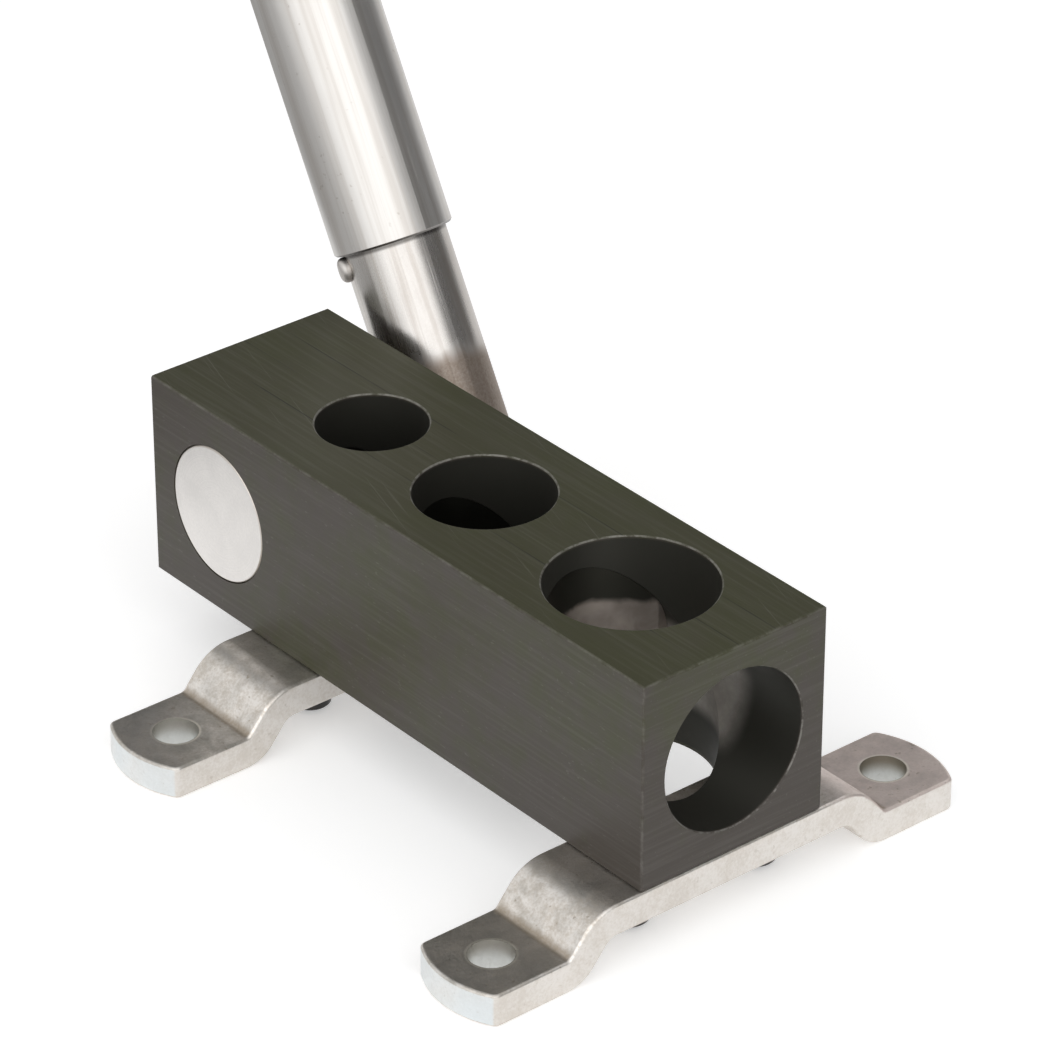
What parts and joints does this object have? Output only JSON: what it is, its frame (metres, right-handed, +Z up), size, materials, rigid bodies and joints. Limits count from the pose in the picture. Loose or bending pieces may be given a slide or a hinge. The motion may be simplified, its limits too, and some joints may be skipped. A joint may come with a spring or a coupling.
{
  "type": "tube notcher",
  "caption": "Lever-operated bench tube notcher: a bored square block on strap feet, with a ram that a cranked lever drives forward to shear a saddle in a tube's end.",
  "frame": {"origin": "middle of the four bench bolt holes, on the bench", "axes": "+X towards the block's open front end, +Y towards the lever's side, +Z up"},
  "size_m": [0.376, 0.1366, 0.4402],
  "materials": {
    "black_oxide": "black oxide on ground steel",
    "ground_steel": "ground",
    "bar_steel": "drawn bar",
    "tube_steel": "drawn tube",
    "zinc_strap": "zinc plated",
    "screw_steel": "black oxide",
    "plug_plastic": "moulded"
  },
  "bodies": {
    "body": {"body_block": "black_oxide", "rear_plug": "black_oxide", "shaft_keeper_screw": "screw_steel", "ram_guide_screw": "screw_steel", "front_foot": "zinc_strap", "rear_foot": "zinc_strap", "front_foot_screws": "screw_steel", "rear_foot_screws": "screw_steel", "front_foot_washers": "zinc_strap", "rear_foot_washers": "zinc_strap"},
    "ram": {"ram": "ground_steel"},
    "lever": {"crank_shaft": "ground_steel", "crank_end_disc": "ground_steel", "crank_dowel": "ground_steel", "lever_bar": "bar_steel", "lever_screw": "screw_steel", "handle_stop_pin": "bar_steel"},
    "roller": {"drive_roller": "ground_steel"},
    "handle": {"handle_tube": "tube_steel", "handle_end_plug": "plug_plastic"}
  },
  "joints": [
    {"name": "lever_swing", "type": "hinge", "parent": "body", "child": "lever", "pos_m": [-0.07876, 0, 0.04204], "axis": [0, 1, 0], "range_deg": [0, 90]},
    {"name": "ram_stroke", "type": "slide", "parent": "body", "child": "ram", "axis": [1, 0, 0], "range_m": [0, 0.0093]},
    {"name": "roller_spin", "type": "hinge", "parent": "lever", "child": "roller", "pos_m": [-0.08336, 0, 0.04664], "axis": [0, 1, 0], "continuous": true},
    {"name": "handle_slip", "type": "slide", "parent": "lever", "child": "handle", "axis": [-0.4848, 0, 0.8746], "range_m": [0, 0.09]}
  ],
  "couplings": [
    {"joint": "ram_stroke", "follows": "lever_swing", "m_per_rad": 0.005852}
  ]
}
